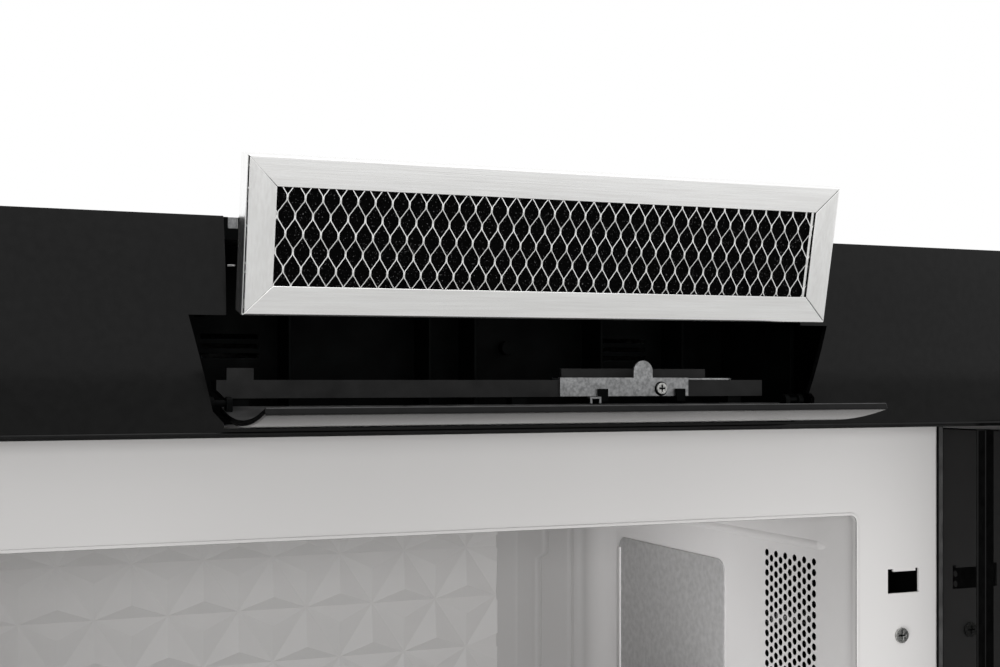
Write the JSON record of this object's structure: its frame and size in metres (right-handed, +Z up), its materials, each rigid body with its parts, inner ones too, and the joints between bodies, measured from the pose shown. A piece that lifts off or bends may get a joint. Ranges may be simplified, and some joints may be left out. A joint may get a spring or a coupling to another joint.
{
  "type": "over the range microwave",
  "caption": "Wall-hung over-range microwave with side-hinged door, convex gloss black vent panel, drop-down flap, slide-out framed charcoal filter and turntable cavity.",
  "frame": {"origin": "middle of the mounting plate's face on the wall", "axes": "+Y into the wall, the door and panel face -Y, +X to the right seen from the front, +Z up"},
  "size_m": [0.9211, 1.035, 0.4447],
  "materials": {
    "galvanised": "spangled zinc coat",
    "case_paint": "satin",
    "plate_paint": "satin powder coat",
    "cavity_enamel": "satin enamel",
    "zinc": "bright zinc",
    "mica": "flat mica sheet",
    "gloss_black": "high gloss",
    "matte_black": "fine matte",
    "black_glass": "printed black glass",
    "circuit_board": "solder mask",
    "bare_aluminium": "mill finish",
    "iron_core": "varnished laminations",
    "motor_steel": "plated",
    "rubber": "matte",
    "lamp_board": "white board with lamps",
    "brushed_handle": "brushed",
    "charcoal": "granular",
    "white_plastic": "moulded",
    "clear_glass": "clear",
    "lamp_lens": "frosted"
  },
  "bodies": {
    "case": {"wall_mount_plate": "galvanised", "back_panel": "galvanised", "case_top": "galvanised", "case_sides": "case_paint", "bottom_pan": "case_paint", "front_plate": "plate_paint", "plate_screws": "zinc", "cavity_ceiling": "cavity_enamel", "cavity_floor": "cavity_enamel", "cavity_left_wall": "cavity_enamel", "cavity_right_wall": "cavity_enamel", "cavity_back_wall": "cavity_enamel", "waveguide_cover": "mica", "vent_panel": "gloss_black", "filter_duct": "matte_black", "filter_guides": "matte_black", "filter_ledge": "matte_black", "filter_clip": "galvanised", "clip_screw": "zinc", "flap_hinge_ears": "matte_black", "door_hinges": "zinc", "control_housing": "gloss_black", "control_glass": "black_glass", "control_board": "circuit_board", "component_shelf": "galvanised", "magnetron": "bare_aluminium", "waveguide": "galvanised", "hv_transformer": "iron_core", "hv_capacitor": "bare_aluminium", "fan_shroud": "galvanised", "fan_motor": "motor_steel", "interlock_bracket": "matte_black", "door_switches": "matte_black", "cord_gland": "rubber", "turntable_motor": "motor_steel", "blower_housing": "galvanised", "blower_motor": "motor_steel", "exhaust_adaptor": "galvanised", "cooktop_lamps": "lamp_board"},
    "door": {"door_frame": "gloss_black", "door_glass": "black_glass", "door_choke": "matte_black", "door_screen": "matte_black", "door_handle": "brushed_handle"},
    "latch": {"latch_hooks": "matte_black"},
    "flap": {"filter_flap": "gloss_black"},
    "filter": {"filter_frame": "bare_aluminium", "filter_meshes": "bare_aluminium", "charcoal_bed": "charcoal"},
    "turntable": {"drive_coupler": "white_plastic", "glass_tray": "clear_glass"},
    "roller_ring": {"roller_ring": "white_plastic"},
    "grease_left": {"grease_frame_left": "bare_aluminium", "grease_mesh_left": "bare_aluminium"},
    "grease_right": {"grease_frame_right": "bare_aluminium", "grease_mesh_right": "bare_aluminium"},
    "lamp_cover": {"cooktop_lamp_lens": "lamp_lens"},
    "blower": {"blower_wheels": "galvanised"},
    "fan": {"fan_blade": "matte_black"},
    "damper": {"exhaust_damper": "galvanised"}
  },
  "joints": [
    {"name": "door_hinge", "type": "hinge", "parent": "case", "child": "door", "pos_m": [-0.372, -0.392, 0], "axis": [0, 0, 1], "range_deg": [0, 100]},
    {"name": "latch_slide", "type": "slide", "parent": "door", "child": "latch", "axis": [0, 0, -1], "range_m": [0, 0.003], "stiffness_N_per_m": 400, "springref_m": -0.003},
    {"name": "flap_hinge", "type": "hinge", "parent": "case", "child": "flap", "pos_m": [0, -0.3993, 0.135], "axis": [1, 0, 0], "range_deg": [-90, 0]},
    {"name": "filter_slide", "type": "slide", "parent": "case", "child": "filter", "axis": [0, 0.9465, -0.3227], "range_m": [0, 0.09]},
    {"name": "tray_spin", "type": "hinge", "parent": "case", "child": "turntable", "pos_m": [-0.054, -0.191, 0], "axis": [0, 0, 1], "continuous": true},
    {"name": "ring_spin", "type": "hinge", "parent": "case", "child": "roller_ring", "pos_m": [-0.054, -0.191, 0], "axis": [0, 0, 1], "continuous": true},
    {"name": "grease_left_hinge", "type": "hinge", "parent": "case", "child": "grease_left", "pos_m": [-0.215, -0.08, -0.1997], "axis": [1, 0, 0], "range_deg": [0, 75]},
    {"name": "grease_right_hinge", "type": "hinge", "parent": "case", "child": "grease_right", "pos_m": [0.215, -0.08, -0.1997], "axis": [1, 0, 0], "range_deg": [0, 75]},
    {"name": "lamp_cover_hinge", "type": "hinge", "parent": "case", "child": "lamp_cover", "pos_m": [0, -0.31, -0.1998], "axis": [1, 0, 0], "range_deg": [0, 80]},
    {"name": "blower_spin", "type": "hinge", "parent": "case", "child": "blower", "pos_m": [0, -0.17, 0.143], "axis": [1, 0, 0], "continuous": true},
    {"name": "fan_spin", "type": "hinge", "parent": "case", "child": "fan", "pos_m": [0.302, -0.075, -0.01], "axis": [0, 1, 0], "continuous": true},
    {"name": "damper_hinge", "type": "hinge", "parent": "case", "child": "damper", "pos_m": [0, -0.122, 0.227], "axis": [1, 0, 0], "range_deg": [0, 80]}
  ],
  "couplings": [
    {"joint": "filter_slide", "follows": "flap_hinge", "m_per_rad": -0.0573},
    {"joint": "ring_spin", "follows": "tray_spin", "ratio": 0.5}
  ]
}
